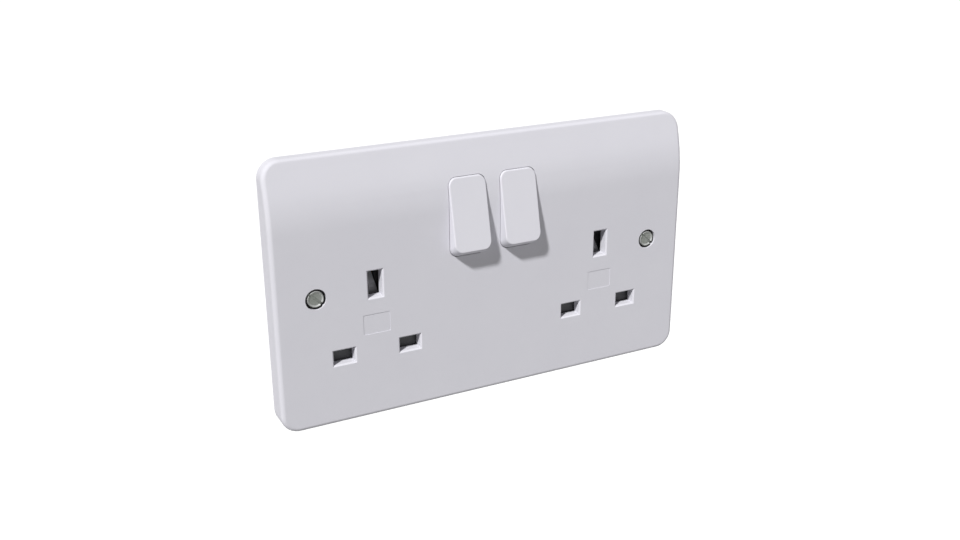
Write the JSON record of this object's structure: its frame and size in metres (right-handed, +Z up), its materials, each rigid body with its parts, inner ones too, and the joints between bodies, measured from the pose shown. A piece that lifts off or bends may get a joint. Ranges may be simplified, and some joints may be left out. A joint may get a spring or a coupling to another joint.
{
  "type": "double switched wall socket",
  "caption": "White double wall socket: moulded plate with shuttered pin slots and rocker switches, on a rear base with screw terminals and sprung contacts.",
  "frame": {"origin": "centre of the plate's rim in the plane of the wall, on the line through both fixing screws", "axes": "+X to the right along the plate, +Y into the wall, +Z up"},
  "size_m": [0.147, 0.0362, 0.0864],
  "materials": {
    "white_moulding": "smooth white moulding",
    "inner_moulding": "plain off-white moulding",
    "cover_moulding": "dull dark grey moulding",
    "shutter": "dull charcoal moulding",
    "plunger": "plain nylon",
    "brass": "pressed brass",
    "contact_tip": "silver alloy",
    "screw": "dull plated steel",
    "spring": "spring steel"
  },
  "bodies": {
    "socket": {"front_plate": "white_moulding", "rear_base": "inner_moulding", "contact_cover": "cover_moulding", "line_bar": "brass", "neutral_bar": "brass", "earth_bar": "brass", "fixing_screws": "screw", "base_screws": "screw", "terminal_screws": "screw", "line_terminal": "brass", "neutral_terminal": "brass", "earth_terminal_left": "brass", "earth_terminal_right": "brass", "fixed_tip_left": "contact_tip", "line_contact_left": "brass", "fixed_tip_right": "contact_tip", "line_contact_right": "brass", "shutter_spring_left": "spring", "shutter_spring_right": "spring"},
    "rocker_left": {"rocker_left": "white_moulding", "plunger_spring_left": "spring"},
    "plunger_left": {"plunger_left": "plunger"},
    "blade_left": {"moving_contact_left": "brass", "moving_tip_left": "contact_tip"},
    "rocker_right": {"rocker_right": "white_moulding", "plunger_spring_right": "spring"},
    "plunger_right": {"plunger_right": "plunger"},
    "blade_right": {"moving_contact_right": "brass", "moving_tip_right": "contact_tip"},
    "shutter_left": {"shutter_left": "shutter"},
    "shutter_right": {"shutter_right": "shutter"}
  },
  "joints": [
    {"name": "rocker_left_hinge", "type": "hinge", "parent": "socket", "child": "rocker_left", "pos_m": [-0.009, -0.0039, 0.0186], "axis": [1, 0, 0], "range_deg": [0, 18]},
    {"name": "plunger_left_slide", "type": "slide", "parent": "rocker_left", "child": "plunger_left", "axis": [0, -0.9877, 0.1564], "range_m": [0, 0.0012], "stiffness_N_per_m": 500, "springref_m": -0.002, "deforming": ["plunger_spring_left"]},
    {"name": "blade_left_hinge", "type": "hinge", "parent": "socket", "child": "blade_left", "pos_m": [-0.009, 0.0091, 0.0186], "axis": [1, 0, 0], "range_deg": [-16, 0]},
    {"name": "rocker_right_hinge", "type": "hinge", "parent": "socket", "child": "rocker_right", "pos_m": [0.009, -0.0039, 0.0186], "axis": [1, 0, 0], "range_deg": [0, 18]},
    {"name": "plunger_right_slide", "type": "slide", "parent": "rocker_right", "child": "plunger_right", "axis": [0, -0.9877, 0.1564], "range_m": [0, 0.0012], "stiffness_N_per_m": 500, "springref_m": -0.002, "deforming": ["plunger_spring_right"]},
    {"name": "blade_right_hinge", "type": "hinge", "parent": "socket", "child": "blade_right", "pos_m": [0.009, 0.0091, 0.0186], "axis": [1, 0, 0], "range_deg": [-16, 0]},
    {"name": "shutter_left_slide", "type": "slide", "parent": "socket", "child": "shutter_left", "axis": [0, 0, -1], "range_m": [0, 0.006], "stiffness_N_per_m": 120, "springref_m": -0.004, "deforming": ["shutter_spring_left"]},
    {"name": "shutter_right_slide", "type": "slide", "parent": "socket", "child": "shutter_right", "axis": [0, 0, -1], "range_m": [0, 0.006], "stiffness_N_per_m": 120, "springref_m": -0.004, "deforming": ["shutter_spring_right"]}
  ],
  "couplings": [
    {"joint": "blade_left_hinge", "follows": "rocker_left_hinge", "ratio": -0.88889},
    {"joint": "blade_right_hinge", "follows": "rocker_right_hinge", "ratio": -0.88889}
  ]
}
